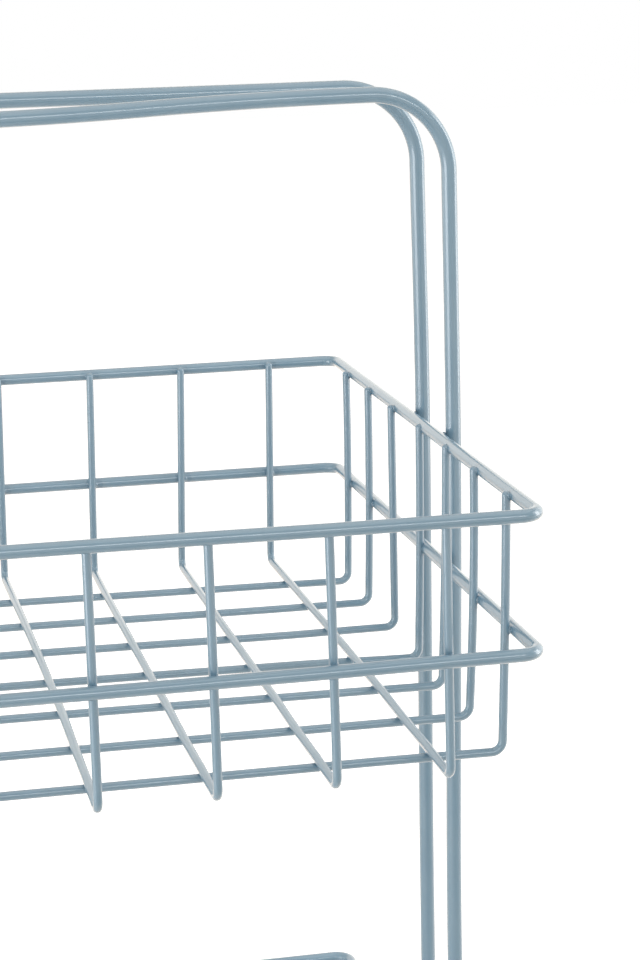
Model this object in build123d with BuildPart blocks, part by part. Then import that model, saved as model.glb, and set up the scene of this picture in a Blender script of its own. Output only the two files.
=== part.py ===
from build123d import *

import os

# Two-tier wire basket stand: two welded wire baskets, one above the other, between two hoops.
# Millimetres, +Z up, X from side to side, Y from front to back. The origin is on the surface that
# the stand rests on, below its middle. Every wire is a solid of its own, and the wires are welded
# where they cross.

# Wire diameters, over the paint
mesh_wire = 3.2
rim_wire = 4.7
hoop_wire = 6.0

# Basket plan, between the centre lines of the rim wires
basket_width = 384.0
basket_depth = 310.0
rim_corner = 7.0

# Basket heights, between wire axes
middle_rim_drop = 48.5
floor_drop = 89.0
tier_pitch = 285.0

# Mesh wires: U shapes that start and end at the top rim
wires_across_width = 9
wires_across_depth = 7
end_margin = 32.0
mesh_bend = 4.0
tip_above_rim_axis = 1.5

# Hoops: an upside-down U each, standing outside the two ends of the baskets
hoop_spacing = 44.0
hoop_bend = 28.0
handle_rise = 130.5
front_bar_sag = 4.5

# Each weld lets the two wires bite into each other by this much
weld_bite = 0.02

# Rounding of cut wire ends, as a share of the wire's radius
mesh_end_round_share = 0.6
hoop_end_round_share = 0.3

# Heights that follow: in a floor, the wires from side to side lie lowest and carry the others
low_floor_axis = mesh_wire / 2
high_floor_axis = low_floor_axis + mesh_wire - weld_bite
lower_rim_axis = high_floor_axis + floor_drop
upper_rim_axis = lower_rim_axis + tier_pitch
bar_axis = upper_rim_axis + handle_rise
tier_lifts = {"lower": 0.0, "upper": tier_pitch}

# The mesh wires stand inside the rims, and the hoop legs outside them
mesh_inset = rim_wire / 2 + mesh_wire / 2 - weld_bite
wall_x = basket_width / 2 - mesh_inset
wall_y = basket_depth / 2 - mesh_inset
leg_x = basket_width / 2 + rim_wire / 2 + hoop_wire / 2 - weld_bite

# Places of the mesh wires, evenly spread between the end margins
width_pitch = (basket_width - 2 * end_margin) / (wires_across_width - 1)
depth_pitch = (basket_depth - 2 * end_margin) / (wires_across_depth - 1)
places_x = [width_pitch * i - basket_width / 2 + end_margin for i in range(wires_across_width)]
places_y = [depth_pitch * i - basket_depth / 2 + end_margin for i in range(wires_across_depth)]

os.makedirs("parts", exist_ok=True)


def keep(piece, name, wire, length):
    """Labels a piece, writes it and prints how its volume compares with its wire's."""
    piece.label = name
    export_step(piece, f"parts/{name}.step")
    share = piece.volume / (Circle(wire / 2, mode=Mode.PRIVATE).area * length)
    print(name, "length", round(length, 1), "volume share", round(share, 4))


for tier, lift in tier_lifts.items():
    rim_axis = lower_rim_axis + lift
    rim_heights = {"top_rim": rim_axis, "middle_rim": rim_axis - middle_rim_drop}

    # Rims: closed rings of thick wire
    for rim_name, height in rim_heights.items():
        with BuildPart() as rim:
            with BuildLine(Plane.XY.offset(height)):
                rim_line = FilletPolyline(
                    (-basket_width / 2, -basket_depth / 2),
                    (basket_width / 2, -basket_depth / 2),
                    (basket_width / 2, basket_depth / 2),
                    (-basket_width / 2, basket_depth / 2),
                    radius=rim_corner,
                    close=True,
                )
            with BuildSketch(Plane(origin=rim_line @ 0, z_dir=rim_line % 0)):
                Circle(rim_wire / 2)
            sweep()
        keep(rim.part, f"{tier}_basket_{rim_name}", rim_wire, rim_line.length)

    # Wires from front to back, over the others in the floor
    for number, x in enumerate(places_x, start=1):
        with BuildPart() as depth_wire:
            with BuildLine(Plane.YZ.offset(x)):
                depth_line = FilletPolyline(
                    (-wall_y, rim_axis + tip_above_rim_axis),
                    (-wall_y, high_floor_axis + lift),
                    (wall_y, high_floor_axis + lift),
                    (wall_y, rim_axis + tip_above_rim_axis),
                    radius=mesh_bend,
                )
            with BuildSketch(Plane(origin=depth_line @ 0, z_dir=depth_line % 0)):
                Circle(mesh_wire / 2)
            sweep()
            tips = depth_wire.edges().group_by(Axis.Z)[-1]
            fillet(tips, mesh_end_round_share * mesh_wire / 2)
        name = f"{tier}_basket_front_to_back_wire_{number}"
        keep(depth_wire.part, name, mesh_wire, depth_line.length)

    # Wires from side to side, the lowest in the floor
    for number, y in enumerate(places_y, start=1):
        with BuildPart() as width_wire:
            with BuildLine(Plane.XZ.offset(-y)):
                width_line = FilletPolyline(
                    (-wall_x, rim_axis + tip_above_rim_axis),
                    (-wall_x, low_floor_axis + lift),
                    (wall_x, low_floor_axis + lift),
                    (wall_x, rim_axis + tip_above_rim_axis),
                    radius=mesh_bend,
                )
            with BuildSketch(Plane(origin=width_line @ 0, z_dir=width_line % 0)):
                Circle(mesh_wire / 2)
            sweep()
            tips = width_wire.edges().group_by(Axis.Z)[-1]
            fillet(tips, mesh_end_round_share * mesh_wire / 2)
        name = f"{tier}_basket_side_to_side_wire_{number}"
        keep(width_wire.part, name, mesh_wire, width_line.length)

# Back hoop: straight legs from the ground, and a straight, level bar
with BuildPart() as back_hoop:
    with BuildLine(Plane.XZ.offset(-hoop_spacing / 2)):
        back_line = FilletPolyline(
            (leg_x, 0), (leg_x, bar_axis), (-leg_x, bar_axis), (-leg_x, 0), radius=hoop_bend
        )
    with BuildSketch(Plane(origin=back_line @ 0, z_dir=back_line % 0)):
        Circle(hoop_wire / 2)
    sweep()
    leg_ends = back_hoop.edges().group_by(Axis.Z)[0]
    fillet(leg_ends, hoop_end_round_share * hoop_wire / 2)
keep(back_hoop.part, "back_hoop", hoop_wire, back_line.length)

# Front hoop: the same, but its bar has sagged in the middle by carrying
quarter_point = ((leg_x - hoop_bend) / 2, bar_axis - front_bar_sag / 2)
with BuildPart() as front_hoop:
    with BuildLine(Plane.XZ.offset(hoop_spacing / 2)) as front_line:
        leg = Line((leg_x, 0), (leg_x, bar_axis - hoop_bend))
        corner = JernArc(leg @ 1, leg % 1, hoop_bend, 90)
        falling = TangentArc(corner @ 1, quarter_point, tangent=corner % 1)
        TangentArc(falling @ 1, (0, bar_axis - front_bar_sag), tangent=falling % 1)
        mirror(about=Plane.YZ)
    with BuildSketch(Plane(origin=leg @ 0, z_dir=leg % 0)):
        Circle(hoop_wire / 2)
    sweep()
    leg_ends = front_hoop.edges().group_by(Axis.Z)[0]
    fillet(leg_ends, hoop_end_round_share * hoop_wire / 2)
keep(front_hoop.part, "front_hoop", hoop_wire, front_line.wire().length)
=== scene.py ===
import math

import bpy
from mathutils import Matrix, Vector


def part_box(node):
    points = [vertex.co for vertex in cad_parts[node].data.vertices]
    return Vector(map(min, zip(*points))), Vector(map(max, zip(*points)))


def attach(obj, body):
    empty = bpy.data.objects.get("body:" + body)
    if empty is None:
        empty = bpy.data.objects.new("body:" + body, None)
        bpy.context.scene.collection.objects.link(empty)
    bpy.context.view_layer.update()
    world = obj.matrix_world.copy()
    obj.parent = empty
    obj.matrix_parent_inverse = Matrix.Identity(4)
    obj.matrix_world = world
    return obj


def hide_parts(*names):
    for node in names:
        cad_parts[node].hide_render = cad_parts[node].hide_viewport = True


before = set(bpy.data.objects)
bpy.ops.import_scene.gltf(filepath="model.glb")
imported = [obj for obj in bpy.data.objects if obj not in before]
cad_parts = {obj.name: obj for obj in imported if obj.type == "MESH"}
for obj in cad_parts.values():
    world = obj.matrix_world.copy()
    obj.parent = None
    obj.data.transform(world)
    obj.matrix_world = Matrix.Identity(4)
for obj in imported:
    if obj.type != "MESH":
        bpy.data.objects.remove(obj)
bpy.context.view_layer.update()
print("frame loaded:", len(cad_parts), "wires")

tiers = ("lower", "upper")
up = Vector((0, 0, 1))
right = Vector((1, 0, 0))
back = Vector((0, 1, 0))


# Node tree helpers

def addNode(tree, kind, inputs=None, **settings):
    made = tree.nodes.new(kind)
    for name, value in settings.items():
        setattr(made, name, value)
    for name, value in (inputs or {}).items():
        if isinstance(value, bpy.types.NodeSocket):
            tree.links.new(value, made.inputs[name])
        else:
            made.inputs[name].default_value = value
    return made


def addInputs(tree, sockets):
    for name, kind in sockets.items():
        tree.interface.new_socket(name, in_out="INPUT", socket_type="NodeSocket" + kind)
    return tree.nodes.new("NodeGroupInput").outputs


def addOutput(tree, name, kind):
    tree.interface.new_socket(name, in_out="OUTPUT", socket_type="NodeSocket" + kind)


def addMath(tree, operation, first, second=None, clamp=False):
    made = addNode(tree, "ShaderNodeMath", operation=operation, use_clamp=clamp)
    for place, value in enumerate((first, second)):
        if isinstance(value, bpy.types.NodeSocket):
            tree.links.new(value, made.inputs[place])
        elif value is not None:
            made.inputs[place].default_value = value
    return made.outputs[0]


def addRange(tree, value, start, end, low, high):
    made = addNode(tree, "ShaderNodeMapRange", {"Value": value, "From Min": start, "From Max": end,
                                                "To Min": low, "To Max": high})
    return made.outputs["Result"]


def addNoise(tree, place, scale, detail, roughness=0.5):
    made = addNode(tree, "ShaderNodeTexNoise", {"Vector": place, "Scale": scale, "Detail": detail,
                                                "Roughness": roughness})
    return made.outputs["Fac"]


def addColourMix(tree, share, first, second):
    made = addNode(tree, "ShaderNodeMix", {"Factor": share, 6: first, 7: second}, data_type="RGBA")
    return made.outputs[2]


def rgba(colour):
    return (*colour, 1.0)


def setInputs(modifier, tree, values):
    known = {item.name: item.identifier for item in tree.interface.items_tree if item.in_out == "INPUT"}
    for name, value in values.items():
        modifier[known[name]] = value


def bakePiece(name, source, tree, values):
    modifier = source.modifiers.new("build", "NODES")
    modifier.node_group = tree
    setInputs(modifier, tree, values)
    bpy.context.view_layer.update()
    evaluated = source.evaluated_get(bpy.context.evaluated_depsgraph_get())
    mesh = bpy.data.meshes.new_from_object(evaluated)
    mesh.name = name
    source.modifiers.remove(modifier)
    bpy.data.objects.remove(source)
    piece = bpy.data.objects.new(name, mesh)
    bpy.context.scene.collection.objects.link(piece)
    return piece


# Powder coat: light grey-blue, satin, with a fine orange peel

coat = {
    "colour": (0.186, 0.320, 0.423),
    "thinColour": (0.211, 0.343, 0.441),
    # The weld colour is darker: partly pooled coat, partly painted shade where crossing wires meet
    "weldColour": (0.168, 0.285, 0.382),
    "weldShare": 0.6,
    "roughness": 0.3,
    "weldRoughness": 0.17,
    "specular": 0.5,
    "glossWeight": 1.0,
    "glossRoughness": 0.18,
    "glossIor": 1.62,
    "peelScale": 1150.0,
    "peelDetail": 1.5,
    "peelRoughness": 0.4,
    "peelHeight": 0.000006,
    "grainScale": 5200.0,
    "grainDetail": 2.0,
    "grainShare": 0.3,
    "patchScale": 45.0,
    "patchDetail": 4.0,
    "patchRoughness": 0.6,
    "thinFrom": 0.35,
    "thinTo": 0.75,
}


def buildPeelGroup():
    tree = bpy.data.node_groups.new("Orange peel", "ShaderNodeTree")
    given = addInputs(tree, {"Vector": "Vector", "Peel Scale": "Float", "Grain Scale": "Float",
                             "Grain Share": "Float"})
    addOutput(tree, "Height", "Float")
    peel = addNoise(tree, given["Vector"], given["Peel Scale"], coat["peelDetail"],
                    coat["peelRoughness"])
    grain = addNoise(tree, given["Vector"], given["Grain Scale"], coat["grainDetail"])
    fine = addMath(tree, "MULTIPLY", grain, given["Grain Share"])
    addNode(tree, "NodeGroupOutput", {"Height": addMath(tree, "ADD", peel, fine)})
    return tree


def buildTintGroup():
    tree = bpy.data.node_groups.new("Coat thickness", "ShaderNodeTree")
    given = addInputs(tree, {"Vector": "Vector", "Patch Scale": "Float", "Weld": "Float",
                             "Colour": "Color", "Thin Colour": "Color", "Weld Colour": "Color"})
    addOutput(tree, "Colour", "Color")
    patches = addNoise(tree, given["Vector"], given["Patch Scale"], coat["patchDetail"],
                       coat["patchRoughness"])
    thin = addRange(tree, patches, coat["thinFrom"], coat["thinTo"], 0.0, 1.0)
    plain = addColourMix(tree, thin, given["Colour"], given["Thin Colour"])
    # Towards the welds the colour darkens: pooled coat and painted shade in the crooks of the crossings
    pooledAndShaded = addColourMix(tree, given["Weld"], plain, given["Weld Colour"])
    addNode(tree, "NodeGroupOutput", {"Colour": pooledAndShaded})
    return tree


peelGroup = buildPeelGroup()
tintGroup = buildTintGroup()


def buildCoat(name, onWeld):
    material = bpy.data.materials.new(name)
    material.use_nodes = True
    tree = material.node_tree
    surface = tree.nodes["Principled BSDF"]
    place = addNode(tree, "ShaderNodeTexCoord").outputs["Object"]

    tint = addNode(tree, "ShaderNodeGroup",
                   {"Vector": place, "Patch Scale": coat["patchScale"], "Colour": rgba(coat["colour"]),
                    "Thin Colour": rgba(coat["thinColour"]), "Weld Colour": rgba(coat["weldColour"])},
                   node_tree=tintGroup)
    tree.links.new(tint.outputs["Colour"], surface.inputs["Base Color"])
    if onWeld:
        # The beads are darkened towards the weld colour: pooled coat and painted shade
        tint.inputs["Weld"].default_value = coat["weldShare"]
        surface.inputs["Roughness"].default_value = coat["weldRoughness"]
    else:
        weld = addNode(tree, "ShaderNodeAttribute", attribute_name="nearWeld").outputs["Fac"]
        tree.links.new(weld, tint.inputs["Weld"])
        roughness = addRange(tree, weld, 0.0, 1.0, coat["roughness"], coat["weldRoughness"])
        tree.links.new(roughness, surface.inputs["Roughness"])

    peel = addNode(tree, "ShaderNodeGroup",
                   {"Vector": place, "Peel Scale": coat["peelScale"], "Grain Scale": coat["grainScale"],
                    "Grain Share": coat["grainShare"]}, node_tree=peelGroup)
    bump = addNode(tree, "ShaderNodeBump", {"Height": peel.outputs["Height"], "Strength": 1.0,
                                            "Distance": coat["peelHeight"]})
    tree.links.new(bump.outputs["Normal"], surface.inputs["Normal"])
    surface.inputs["Specular IOR Level"].default_value = coat["specular"]
    surface.inputs["Coat Weight"].default_value = coat["glossWeight"]
    surface.inputs["Coat Roughness"].default_value = coat["glossRoughness"]
    surface.inputs["Coat IOR"].default_value = coat["glossIor"]
    return material


wireCoat = buildCoat("Powder coat on wire", onWeld=False)
weldCoat = buildCoat("Powder coat on weld", onWeld=True)
print("powder coat made")


# Wire paths: straight runs joined by arcs, with closer points at rounded ends

def spread(start, end, spacing):
    count = max(1, math.ceil((end - start).length / spacing))
    return [start.lerp(end, i / count) for i in range(1, count)]


def bendPoints(before, corner, after, radius, steps):
    toBefore = (before - corner).normalized()
    toAfter = (after - corner).normalized()
    half = toBefore.angle(toAfter) / 2
    middle = corner + (toBefore + toAfter).normalized() * radius / math.sin(half)
    first = (corner + toBefore * radius / math.tan(half) - middle).normalized()
    last = (corner + toAfter * radius / math.tan(half) - middle).normalized()
    return [middle + first.slerp(last, i / steps) * radius for i in range(steps + 1)]


def bentPath(corners, radius, spacing, steps, closed=False):
    count = len(corners)
    inner = range(count) if closed else range(1, count - 1)
    bends = {i: bendPoints(corners[i - 1], corners[i], corners[(i + 1) % count], radius, steps)
             for i in inner}
    parts = [bends.get(i, [corners[i]]) for i in range(count)]
    path = []
    for i, part in enumerate(parts):
        path += part
        if closed or i < count - 1:
            path += spread(part[-1], parts[(i + 1) % count][0], spacing)
    return path


def addTips(path, length, steps):
    def tip(end, inside):
        along = (inside - end).normalized()
        return [end + along * length * (1 - math.cos(math.pi / 2 * i / steps)) for i in range(steps + 1)]
    return tip(path[0], path[1]) + path[1:-1] + tip(path[-1], path[-2])[::-1]


def pathObject(path, closed):
    curve = bpy.data.curves.new("path", "CURVE")
    curve.dimensions = "3D"
    line = curve.splines.new("POLY")
    line.points.add(len(path) - 1)
    for point, place in zip(line.points, path):
        point.co = (*place, 1.0)
    line.use_cyclic_u = closed
    made = bpy.data.objects.new("path", curve)
    bpy.context.scene.collection.objects.link(made)
    return made


# Strays: how far each wire stands from its even place, in metres. The front-to-back wires, from left
# to right, stray sideways, and kink over the first share of the floor
depthStrays = {
    "frontTops": (0.0002, 0.0002, 0.0002, 0.0002, 0.0002, 0.0001, -0.0001, 0.0003, 0.0002),
    "frontFloors": (0.0008, 0.0008, 0.0008, 0.0008, 0.0008, 0.0006, 0.0008, 0.0014, 0.0008),
    "backFloors": (-0.0006, -0.0006, -0.0006, -0.0006, -0.0006, -0.0004, -0.0006, -0.0012, -0.0006),
    "backTops": (0.0006, 0.0006, 0.0006, 0.0006, 0.0006, 0.0008, 0.0009, 0.0011, 0.0007),
    "floorBows": (0.0, 0.0, 0.0, 0.0, 0.0, 0.0007, -0.0008, -0.0004, 0.0004),
    "frontKinks": (0.0, 0.0, 0.0, 0.0, 0.0, -0.0002, -0.0004, -0.0005, -0.0005),
    "kinkShare": 0.32,
}

# The side-to-side wires, from front to back: their walls stray outwards and their ends backwards, and
# their floors lift. Wall bows and end lifts start at a share of the way from the middle to a wall
widthStrays = {
    "wallTops": (0.0009, 0.0010, 0.0015, 0.0017, 0.0007, 0.0008, 0.0005),
    "wallBows": (0.0003, 0.0007, 0.0004, 0.0004, 0.0, 0.0004, 0.0004),
    "wallFloors": (-0.0011, -0.0015, -0.0010, 0.0002, 0.0009, -0.0004, -0.0003),
    "leftEnds": (0.0, 0.0, 0.0008, 0.0012, 0.0020, 0.0012, 0.0),
    "rightEnds": (-0.0008, -0.0004, -0.0014, -0.0022, -0.0020, -0.0024, -0.0038),
    "floorLifts": (0.0002, 0.0001, 0.0001, 0.0001, 0.0003, 0.0003, 0.0001),
    "endLifts": (-0.0004, -0.0002, -0.0003, -0.0008, 0.0003, 0.0, -0.0004),
    "wallBowsFrom": 0.9,
    "endLiftsFrom": 0.72,
}

# The floor and the top rim's front crown a little around the middle, and the middle rim tips forwards
crown = {"rim": 0.0007, "floor": 0.0009, "half": 0.15, "start": -0.12, "full": -0.04,
         "middleFront": 0.0004, "middleBack": -0.00035, "middleFrom": 0.10, "middleTo": 0.19}


def ramp(value, start, end):
    share = min(1, max(0, (value - start) / (end - start)))
    return share * share * (3 - 2 * share)


def between(start, end, share):
    return start + (end - start) * share


def bowed(share):
    return 4 * share * (1 - share)


def crownAt(x):
    return max(0, 1 - (x / crown["half"]) ** 2) ** 2


def floorRise(x, y):
    return crown["floor"] * crownAt(x) * ramp(y, crown["start"], crown["full"])


def rimRise(rim, x, y, reach):
    if rim == "top":
        return crown["rim"] * crownAt(x) if y < 0 else 0
    front = crown["middleFront"] * ramp(x, crown["middleFrom"], crown["middleTo"])
    return between(front, crown["middleBack"], (y / reach + 1) / 2)


def skewAt(index, share):
    return between(widthStrays["leftEnds"][index], widthStrays["rightEnds"][index], (share + 1) / 2)


def floorBend(index, share):
    kink = depthStrays["frontKinks"][index] * bowed(min(1, share / depthStrays["kinkShare"]))
    return kink + depthStrays["floorBows"][index] * bowed(share)


def floorStray(index, share):
    straight = between(depthStrays["frontFloors"][index], depthStrays["backFloors"][index], share)
    return straight + floorBend(index, share)


def floorLift(index, share):
    end = ramp(abs(share), widthStrays["endLiftsFrom"], 1)
    return widthStrays["floorLifts"][index] + widthStrays["endLifts"][index] * end


# Crossings: every place where two wires are welded, read from the frame

def middleOf(node):
    low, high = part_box(node)
    return (low + high) / 2


def indexOf(node):
    return int(node.split("_")[-1]) - 1


def wireRadius(node, axis):
    low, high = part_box(node)
    return (high[axis] - low[axis]) / 2


def ringOf(tier, rim):
    low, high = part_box(f"{tier}_basket_{rim}_rim")
    radius = (high.z - low.z) / 2
    return {"radius": radius, "x": high.x - radius, "y": high.y - radius, "z": (low.z + high.z) / 2}


def namesOf(tier, kind):
    start = f"{tier}_basket_{kind}_wire_"
    return sorted((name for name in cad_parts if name.startswith(start)), key=indexOf)


def crossingsOf(tier):
    depthWires = namesOf(tier, "front_to_back")
    widthWires = namesOf(tier, "side_to_side")
    xs = [middleOf(name).x for name in depthWires]
    ys = [middleOf(name).y for name in widthWires]
    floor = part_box(depthWires[0])[0].z
    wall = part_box(widthWires[0])[1].x
    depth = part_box(depthWires[0])[1].y
    found = {"floor": [], "rim": [], "hoop": []}
    for number, x in enumerate(xs):
        for index, y in enumerate(ys):
            strayed = x + floorStray(number, (y / depth + 1) / 2)
            place = Vector((strayed, y + skewAt(index, x / wall), floor + floorRise(x, y)))
            found["floor"].append((place, up, right))
    legYs = [middleOf(name).y for name in ("front_hoop", "back_hoop")]
    for rim in ("middle", "top"):
        ring = ringOf(tier, rim)
        for side in (-1, 1):
            wallX = side * (ring["x"] - ring["radius"])
            wallY = side * (ring["y"] - ring["radius"])
            outerX = side * (ring["x"] + ring["radius"])
            tops = depthStrays["backTops" if side > 0 else "frontTops"]
            for x, stray in zip(xs, tops):
                height = ring["z"] + rimRise(rim, x, wallY, ring["y"])
                found["rim"].append((Vector((x + stray, wallY, height)), back * side, right))
            for index, y in enumerate(ys):
                height = ring["z"] + rimRise(rim, wallX, y, ring["y"])
                place = Vector((wallX, y + skewAt(index, side), height))
                found["rim"].append((place, right * side, back))
            for y in legYs:
                found["hoop"].append((Vector((outerX, y, ring["z"])), right * side, back))
    return found


def crossingObject(crossings):
    mesh = bpy.data.meshes.new("crossings")
    mesh.from_pydata([place for place, _, _ in crossings], [], [])
    for name, index in (("normal", 1), ("along", 2)):
        attribute = mesh.attributes.new(name, "FLOAT_VECTOR", "POINT")
        attribute.data.foreach_set("vector", [v for crossing in crossings for v in crossing[index]])
    made = bpy.data.objects.new("crossings", mesh)
    bpy.context.scene.collection.objects.link(made)
    return made


# Every piece gets the same slight waver, so that crossing wires stay together

waver = {"amount": 0.0005, "scale": 6.0, "seed": 4.0}


def buildWaverGroup():
    tree = bpy.data.node_groups.new("Waver", "GeometryNodeTree")
    given = addInputs(tree, {"Geometry": "Geometry", "Amount": "Float", "Scale": "Float",
                             "Seed": "Float"})
    addOutput(tree, "Geometry", "Geometry")
    place = addNode(tree, "GeometryNodeInputPosition").outputs[0]
    noise = addNode(tree, "ShaderNodeTexNoise",
                    {"Vector": place, "W": given["Seed"], "Scale": given["Scale"], "Detail": 1.0},
                    noise_dimensions="4D")
    centred = addNode(tree, "ShaderNodeVectorMath", {0: noise.outputs["Color"], 1: (0.5, 0.5, 0.5)},
                      operation="SUBTRACT")
    offset = addNode(tree, "ShaderNodeVectorMath", {0: centred.outputs[0], "Scale": given["Amount"]},
                     operation="SCALE")
    moved = addNode(tree, "GeometryNodeSetPosition", {"Geometry": given["Geometry"],
                                                      "Offset": offset.outputs[0]})
    addNode(tree, "NodeGroupOutput", {0: moved.outputs[0]})
    return tree


waverGroup = buildWaverGroup()


def addWaver(tree, geometry):
    made = addNode(tree, "GeometryNodeGroup",
                   {"Geometry": geometry, "Amount": waver["amount"], "Scale": waver["scale"],
                    "Seed": waver["seed"]}, node_tree=waverGroup)
    return made.outputs[0]


def buildWireTree():
    tree = bpy.data.node_groups.new("Coated wire", "GeometryNodeTree")
    given = addInputs(tree, {"Geometry": "Geometry", "Wire Radius": "Float", "Tip Length": "Float",
                             "Tip Flat": "Float", "Sides": "Int", "Crossings": "Object",
                             "Weld Reach": "Float", "Material": "Material"})
    addOutput(tree, "Geometry", "Geometry")

    # Rounded tips: the tube narrows as a quarter of an ellipse over the tip length
    along = addNode(tree, "GeometryNodeSplineParameter").outputs["Length"]
    total = addNode(tree, "GeometryNodeSplineLength").outputs["Length"]
    left = addMath(tree, "SUBTRACT", total, along)
    nearest = addMath(tree, "MINIMUM", along, left)
    share = addMath(tree, "DIVIDE", nearest, given["Tip Length"], clamp=True)
    rest = addMath(tree, "SUBTRACT", 1.0, share)
    squared = addMath(tree, "MULTIPLY", rest, rest)
    inside = addMath(tree, "SUBTRACT", 1.0, squared)
    dome = addMath(tree, "SQRT", inside)
    full = addMath(tree, "SUBTRACT", 1.0, given["Tip Flat"])
    narrowed = addMath(tree, "MULTIPLY", dome, full)
    tip = addMath(tree, "ADD", narrowed, given["Tip Flat"])
    cyclic = addNode(tree, "GeometryNodeInputSplineCyclic").outputs[0]
    width = addMath(tree, "MAXIMUM", tip, cyclic)

    wavy = addWaver(tree, given["Geometry"])
    profile = addNode(tree, "GeometryNodeCurvePrimitiveCircle", {"Resolution": given["Sides"],
                                                                 "Radius": given["Wire Radius"]})
    tube = addNode(tree, "GeometryNodeCurveToMesh", {"Curve": wavy, "Profile Curve": profile.outputs[0],
                                                     "Scale": width, "Fill Caps": True})

    # Near a weld the coat pools, and the colour there darkens as painted shade in the crook of the
    # crossing: the attribute fades out over the weld's reach
    welds = addNode(tree, "GeometryNodeObjectInfo", {"Object": given["Crossings"]})
    distance = addNode(tree, "GeometryNodeProximity", {"Target": welds.outputs["Geometry"]},
                       target_element="POINTS").outputs["Distance"]
    far = addMath(tree, "DIVIDE", distance, given["Weld Reach"], clamp=True)
    near = addMath(tree, "SUBTRACT", 1.0, far)
    stored = addNode(tree, "GeometryNodeStoreNamedAttribute",
                     {"Geometry": tube.outputs[0], "Name": "nearWeld", "Value": near}, domain="POINT")
    smooth = addNode(tree, "GeometryNodeSetShadeSmooth", {"Geometry": stored.outputs[0]})
    real = addNode(tree, "GeometryNodeRealizeInstances", {"Geometry": smooth.outputs[0]})
    dressed = addNode(tree, "GeometryNodeSetMaterial", {"Geometry": real.outputs[0],
                                                        "Material": given["Material"]})
    addNode(tree, "NodeGroupOutput", {0: dressed.outputs[0]})
    return tree


def buildWeldTree():
    tree = bpy.data.node_groups.new("Weld beads", "GeometryNodeTree")
    given = addInputs(tree, {"Geometry": "Geometry", "Reach Along": "Float", "Reach Across": "Float",
                             "Depth": "Float", "Spread": "Float", "Lumps": "Float",
                             "Lump Scale": "Float", "Seed": "Int", "Material": "Material"})
    addOutput(tree, "Geometry", "Geometry")
    ball = addNode(tree, "GeometryNodeMeshIcoSphere", {"Radius": 1.0, "Subdivisions": 4}).outputs[0]

    # Lumps: the unit ball swells a little, so that no bead is a plain ellipsoid
    place = addNode(tree, "GeometryNodeInputPosition").outputs[0]
    noise = addNoise(tree, place, given["Lump Scale"], 1.0)
    centred = addMath(tree, "SUBTRACT", noise, 0.5)
    swell = addMath(tree, "MULTIPLY", centred, given["Lumps"])
    normal = addNode(tree, "GeometryNodeInputNormal").outputs[0]
    offset = addNode(tree, "ShaderNodeVectorMath", {0: normal, "Scale": swell}, operation="SCALE")
    lumpy = addNode(tree, "GeometryNodeSetPosition", {"Geometry": ball, "Offset": offset.outputs[0]})
    size = addNode(tree, "ShaderNodeCombineXYZ", {"X": given["Reach Along"], "Y": given["Reach Across"],
                                                  "Z": given["Depth"]}).outputs[0]
    bead = addNode(tree, "GeometryNodeTransform", {"Geometry": lumpy.outputs[0], "Scale": size})

    least = addMath(tree, "SUBTRACT", 1.0, given["Spread"])
    most = addMath(tree, "ADD", 1.0, given["Spread"])
    scale = addNode(tree, "FunctionNodeRandomValue", {"Min": least, "Max": most, "Seed": given["Seed"]},
                    data_type="FLOAT_VECTOR")
    axes = {}
    for name in ("normal", "along"):
        axes[name] = addNode(tree, "GeometryNodeInputNamedAttribute", {"Name": name},
                             data_type="FLOAT_VECTOR").outputs[0]
    turn = addNode(tree, "FunctionNodeAxesToRotation", {0: axes["normal"], 1: axes["along"]},
                   primary_axis="Z", secondary_axis="X")
    placed = addNode(tree, "GeometryNodeInstanceOnPoints",
                     {"Points": given["Geometry"], "Instance": bead.outputs[0],
                      "Rotation": turn.outputs[0], "Scale": scale.outputs["Value"]})
    real = addNode(tree, "GeometryNodeRealizeInstances", {"Geometry": placed.outputs[0]})
    wavy = addWaver(tree, real.outputs[0])
    smooth = addNode(tree, "GeometryNodeSetShadeSmooth", {"Geometry": wavy})
    dressed = addNode(tree, "GeometryNodeSetMaterial", {"Geometry": smooth.outputs[0],
                                                        "Material": given["Material"]})
    addNode(tree, "NodeGroupOutput", {0: dressed.outputs[0]})
    return tree


wireTree = buildWireTree()
weldTree = buildWeldTree()


def finishPiece(piece, *nodes):
    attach(piece, "root")
    if nodes:
        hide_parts(*nodes)


def makeWire(node, path, radius, crossings, settings, closed=False):
    values = {"Wire Radius": radius, "Sides": settings["sides"], "Crossings": crossings,
              "Weld Reach": settings["weldReach"], "Material": wireCoat}
    if not closed:
        path = addTips(path, settings["tipLength"], settings["tipSteps"])
        values["Tip Length"] = settings["tipLength"]
        values["Tip Flat"] = settings["tipFlat"]
    name = node.replace("_basket", "") + "_coated"
    piece = bakePiece(name, pathObject(path, closed), wireTree, values)
    finishPiece(piece, node)


# Rims: closed rings of thick wire

rims = {"bend": 0.007, "bendSteps": 12, "spacing": 0.003, "sides": 28, "weldReach": 0.0045}


def makeRim(tier, rim, crossings):
    ring = ringOf(tier, rim)
    corners = [Vector((sideX * ring["x"], sideY * ring["y"], ring["z"]))
               for sideX, sideY in ((-1, 1), (-1, -1), (1, -1), (1, 1))]
    path = bentPath(corners, rims["bend"], rims["spacing"], rims["bendSteps"], closed=True)
    for point in path:
        point.z += rimRise(rim, point.x, point.y, ring["y"])
    makeWire(f"{tier}_basket_{rim}_rim", path, ring["radius"], crossings, rims, closed=True)


# Mesh wires: thin U shapes inside the rims

meshWires = {"bend": 0.004, "bendSteps": 10, "spacing": 0.003, "sides": 24, "weldReach": 0.0035,
             "tipLength": 0.0014, "tipSteps": 6, "tipFlat": 0.06,
             "frontDip": 0.0011, "crownDip": 0.0008, "dipShare": 0.1}


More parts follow.
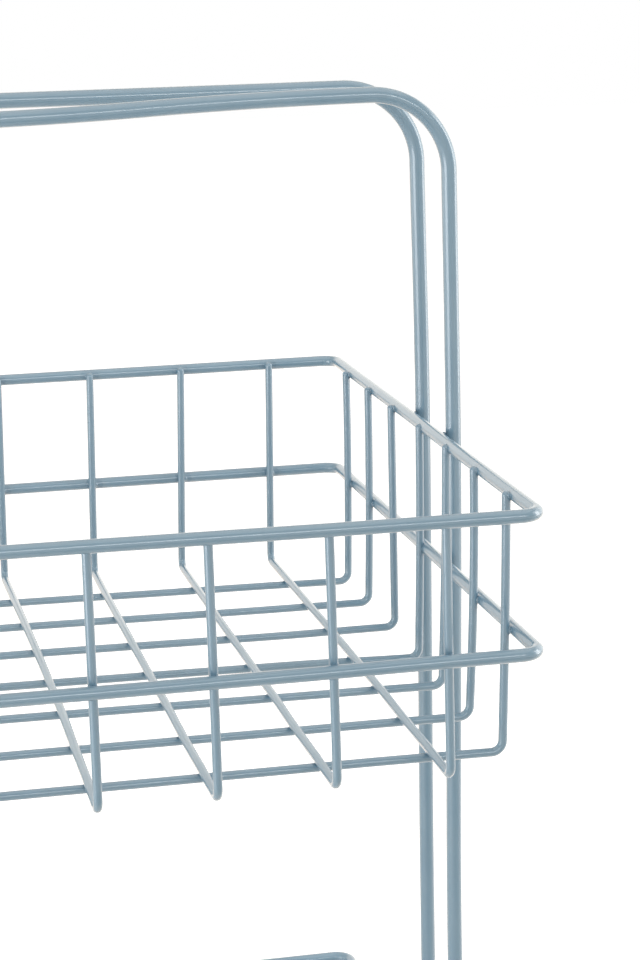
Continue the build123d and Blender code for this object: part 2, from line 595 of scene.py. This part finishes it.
def makeDepthWire(node, crossings):
    low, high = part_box(node)
    radius = wireRadius(node, 0)
    index = indexOf(node)
    x = middleOf(node).x
    floor = low.z + radius
    front, rear = low.y + radius, high.y - radius
    dip = meshWires["frontDip"] + meshWires["crownDip"] * crownAt(x)
    frontFloor, backFloor = depthStrays["frontFloors"][index], depthStrays["backFloors"][index]
    places = ((depthStrays["frontTops"][index], front, high.z),
              (frontFloor, front, floor - dip),
              (between(frontFloor, backFloor, meshWires["dipShare"]),
               between(front, rear, meshWires["dipShare"]), floor),
              (backFloor, rear, floor),
              (depthStrays["backTops"][index], rear, high.z))
    corners = [Vector((x + stray, y, z)) for stray, y, z in places]
    path = bentPath(corners, meshWires["bend"], meshWires["spacing"], meshWires["bendSteps"])
    for point in path:
        point.x += floorBend(index, (point.y - front) / (rear - front))
        point.z += floorRise(x, point.y) * min(1, (high.z - point.z) / (high.z - floor))
    makeWire(node, path, radius, crossings, meshWires)


def makeWidthWire(node, crossings):
    low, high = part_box(node)
    radius = wireRadius(node, 1)
    index = indexOf(node)
    floor = low.z + radius
    wall = high.x - radius
    corners = []
    for side in (-1, 1):
        y = middleOf(node).y + skewAt(index, side)
        wallTop = Vector((side * (wall + widthStrays["wallTops"][index]), y, high.z))
        wallFloor = Vector((side * (wall + widthStrays["wallFloors"][index]), y, floor))
        corners += (wallTop, wallFloor) if side < 0 else (wallFloor, wallTop)
    path = bentPath(corners, meshWires["bend"], meshWires["spacing"], meshWires["bendSteps"])
    for point in path:
        height = (point.z - floor) / (high.z - floor)
        bow = widthStrays["wallBows"][index] * bowed(height)
        point.z += floorRise(point.x, point.y) + floorLift(index, point.x / wall) * (1 - height)
        bow *= ramp(abs(point.x) / wall, widthStrays["wallBowsFrom"], 1)
        point.x += bow * math.copysign(1, point.x)
    makeWire(node, path, radius, crossings, meshWires)


# Hoops: thick legs and bars. Between their welds the legs bow a little, as bent wire does

hoops = {"bend": 0.0293, "bendSteps": 28, "spacing": 0.004, "sides": 32, "weldReach": 0.006,
         "tipLength": 0.0009, "tipSteps": 5, "tipFlat": 0.66,
         "front_hoop": {"sag": 0.0040, "lower": 0.0, "atLowerRim": -0.0004, "betweenTiers": -0.0008,
                        "atUpperRim": 0.0007, "atBar": -0.0001},
         "back_hoop": {"sag": 0.0, "lower": 0.0003, "atLowerRim": -0.0004, "betweenTiers": -0.0005,
                       "atUpperRim": 0.0002, "atBar": -0.0011}}


def bowAt(height, marks):
    for (low, start), (high, end) in zip(marks, marks[1:]):
        if height <= high:
            return between(start, end, ramp(height, low, high))
    return marks[-1][1]


def makeHoop(node, crossings):
    low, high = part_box(node)
    radius = wireRadius(node, 1)
    own = hoops[node]
    y = middleOf(node).y
    legX, bar = high.x - radius, high.z - radius - own["lower"]
    lowerRim, upperRim = (ringOf(tier, "top")["z"] for tier in tiers)
    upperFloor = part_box(namesOf("upper", "side_to_side")[0])[0].z
    marks = ((0, 0), (lowerRim, own["atLowerRim"]), ((lowerRim + upperFloor) / 2, own["betweenTiers"]),
             (upperRim, own["atUpperRim"]), (bar, own["atBar"]))
    half = bentPath([Vector((legX, y, low.z)), Vector((legX, y, bar)), Vector((0, y, bar))],
                    hoops["bend"], hoops["spacing"], hoops["bendSteps"])
    barEnd = legX - hoops["bend"]
    # The sag follows two parabolas, which meet halfway from the bend to the middle
    for point in half:
        share = 1 - min(1, point.x / barEnd)
        drop = 2 * share ** 2 if share < 0.5 else 1 - 2 * (1 - share) ** 2
        point.x += bowAt(point.z, marks) * point.x / legX
        point.z -= own["sag"] * drop
    other = [Vector((-point.x, point.y, point.z)) for point in reversed(half[:-1])]
    makeWire(node, half + other, radius, crossings, hoops)


# Welds: small beads of metal and coat in the crooks of the crossings

weldShape = {"Spread": 0.15, "Lumps": 0.12, "Lump Scale": 1.3}
welds = {
    "floor": {"Reach Along": 0.0013, "Reach Across": 0.0012, "Depth": 0.0006, "Seed": 11},
    "rim": {"Reach Along": 0.0018, "Reach Across": 0.0014, "Depth": 0.0009, "Seed": 12},
    "hoop": {"Reach Along": 0.0018, "Reach Across": 0.0017, "Depth": 0.0009, "Seed": 13},
}


def makeWelds(tier, kind, crossings):
    piece = bakePiece(f"{tier}_{kind}_welds", crossingObject(crossings), weldTree,
                      {**weldShape, **welds[kind], "Material": weldCoat})
    finishPiece(piece)


allCrossings = []
for tier in tiers:
    found = crossingsOf(tier)
    joined = [crossing for kind in found.values() for crossing in kind]
    allCrossings += joined
    marks = crossingObject(joined)
    for rim in ("middle", "top"):
        makeRim(tier, rim, marks)
    for node in namesOf(tier, "front_to_back"):
        makeDepthWire(node, marks)
    for node in namesOf(tier, "side_to_side"):
        makeWidthWire(node, marks)
    for kind, crossings in found.items():
        makeWelds(tier, kind, crossings)
    bpy.data.objects.remove(marks)
    print(tier, "basket made with", len(joined), "welds")

marks = crossingObject(allCrossings)
for node in ("back_hoop", "front_hoop"):
    makeHoop(node, marks)
bpy.data.objects.remove(marks)
print("hoops made")


# Stage: a pale floor that reads as white to the camera, and soft lamps

def whiteRays(tree):
    rays = addNode(tree, "ShaderNodeLightPath").outputs
    seen = addMath(tree, "MAXIMUM", rays["Is Camera Ray"], rays["Is Glossy Ray"])
    return addMath(tree, "MAXIMUM", seen, rays["Is Transmission Ray"])


# In the gloss, the floor is bright under and behind the stand and far away, and darker in front
stage = {
    "size": 12.0, "floorColour": (0.68, 0.665, 0.63), "floorGloss": (1.0, 0.88, 0.78),
    "worldGloss": (0.94, 0.895, 0.825), "worldLight": 0.22,
    "nearRadius": 0.25, "farRadius": 0.5, "nearLift": 0.3, "farLift": 0.9,
    "brightWay": (-0.5, 0.87, 0.0), "darkFrom": -0.15, "darkTo": -0.6,
    "underGloss": 1.0, "frontGloss": 0.2, "distantFrom": 0.75, "distantTo": 1.3,
}


def glowColour(tree, inGloss):
    direct = addNode(tree, "ShaderNodeLightPath").outputs["Is Camera Ray"]
    return addColourMix(tree, direct, rgba(inGloss), (1, 1, 1, 1))


def makeFloor():
    bpy.ops.mesh.primitive_plane_add(size=stage["size"])
    floor = bpy.context.object
    floor.name = "floor"
    material = bpy.data.materials.new("Pale floor")
    material.use_nodes = True
    tree = material.node_tree
    tree.nodes.clear()
    plain = addNode(tree, "ShaderNodeBsdfDiffuse", {"Color": rgba(stage["floorColour"])})
    place = addNode(tree, "ShaderNodeTexCoord").outputs["Object"]
    away = addNode(tree, "ShaderNodeVectorMath", {0: place}, operation="LENGTH").outputs["Value"]
    direct = addRange(tree, away, stage["nearRadius"], stage["farRadius"],
                      stage["nearLift"], stage["farLift"])
    across = addNode(tree, "ShaderNodeVectorMath", {0: place, 1: stage["brightWay"]},
                     operation="DOT_PRODUCT").outputs["Value"]
    under = addRange(tree, across, stage["darkTo"], stage["darkFrom"],
                     stage["frontGloss"], stage["underGloss"])
    distant = addRange(tree, away, stage["distantFrom"], stage["distantTo"], 0.0, stage["farLift"])
    gloss = addMath(tree, "MAXIMUM", under, distant)
    camera = addNode(tree, "ShaderNodeLightPath").outputs["Is Camera Ray"]
    lift = addNode(tree, "ShaderNodeMix", {0: camera, 2: gloss, 3: direct}, data_type="FLOAT").outputs[0]
    seen = addMath(tree, "MULTIPLY", whiteRays(tree), lift)
    glow = addNode(tree, "ShaderNodeEmission", {"Color": glowColour(tree, stage["floorGloss"]),
                                                "Strength": seen})
    both = addNode(tree, "ShaderNodeAddShader", {0: plain.outputs[0], 1: glow.outputs[0]})
    addNode(tree, "ShaderNodeOutputMaterial", {"Surface": both.outputs[0]})
    floor.data.materials.append(material)


def makeWorld():
    world = bpy.data.worlds.new("Studio")
    bpy.context.scene.world = world
    world.use_nodes = True
    tree = world.node_tree
    strength = addRange(tree, whiteRays(tree), 0.0, 1.0, stage["worldLight"], 1.0)
    background = tree.nodes["Background"]
    tree.links.new(glowColour(tree, stage["worldGloss"]), background.inputs["Color"])
    tree.links.new(strength, background.inputs["Strength"])


# Lamps: place and size in metres, and the glow that their face shows, where white is 1
lamps = {
    "left": {"place": (-1.02, -0.55, 0.32), "size": (0.90, 0.6), "glow": 3.9,
             "colour": (0.94, 0.97, 1.0)},
    "leftBack": {"place": (-1.9, 0.69, 0.5), "size": (1.3, 0.9), "glow": 1.2},
    "right": {"place": (1.27, -0.17, 0.60), "size": (0.46, 0.96), "glow": 4.2},
    "rightBack": {"place": (1.3, 0.5, 0.7), "size": (1.0, 1.1), "glow": 0.85},
    "front": {"place": (0.3, -3.2, 1.21), "size": (3.2, 0.34), "glow": 7.3},
    "back": {"place": (0.3, 3.2, 1.25), "size": (4.5, 2.2), "glow": 0.42},
    "top": {"place": (0.0, -0.2, 2.6), "size": (3.6, 3.0), "glow": 0.77},
}
lampTarget = Vector((0, 0, 0.4))


def makeLamp(name, settings):
    wide, tall = settings["size"]
    lamp = bpy.data.lights.new(name, "AREA")
    lamp.shape = "RECTANGLE"
    lamp.size, lamp.size_y = wide, tall
    lamp.energy = settings["glow"] * math.pi * wide * tall
    lamp.color = settings.get("colour", (1, 1, 1))
    made = bpy.data.objects.new(name + " lamp", lamp)
    made.location = settings["place"]
    aim = lampTarget - made.location
    made.rotation_euler = aim.to_track_quat("-Z", "Y").to_euler()
    made.visible_camera = False
    bpy.context.scene.collection.objects.link(made)


# Camera: place in metres, turn in degrees, lens and sensor in millimetres
view = {"place": (-0.055289, -0.952120, 0.579804), "turn": (77.288, 1.214, -12.457),
        "lens": 96.42, "sensor": 36.0}


def makeCamera():
    camera = bpy.data.objects.new("camera", bpy.data.cameras.new("camera"))
    camera.data.sensor_width = view["sensor"]
    camera.data.lens = view["lens"]
    camera.location = view["place"]
    camera.rotation_euler = [math.radians(angle) for angle in view["turn"]]
    bpy.context.scene.collection.objects.link(camera)
    bpy.context.scene.camera = camera


makeFloor()
makeWorld()
for name, settings in lamps.items():
    makeLamp(name, settings)
makeCamera()
bpy.context.scene.view_settings.view_transform = "Standard"
print("stage made")
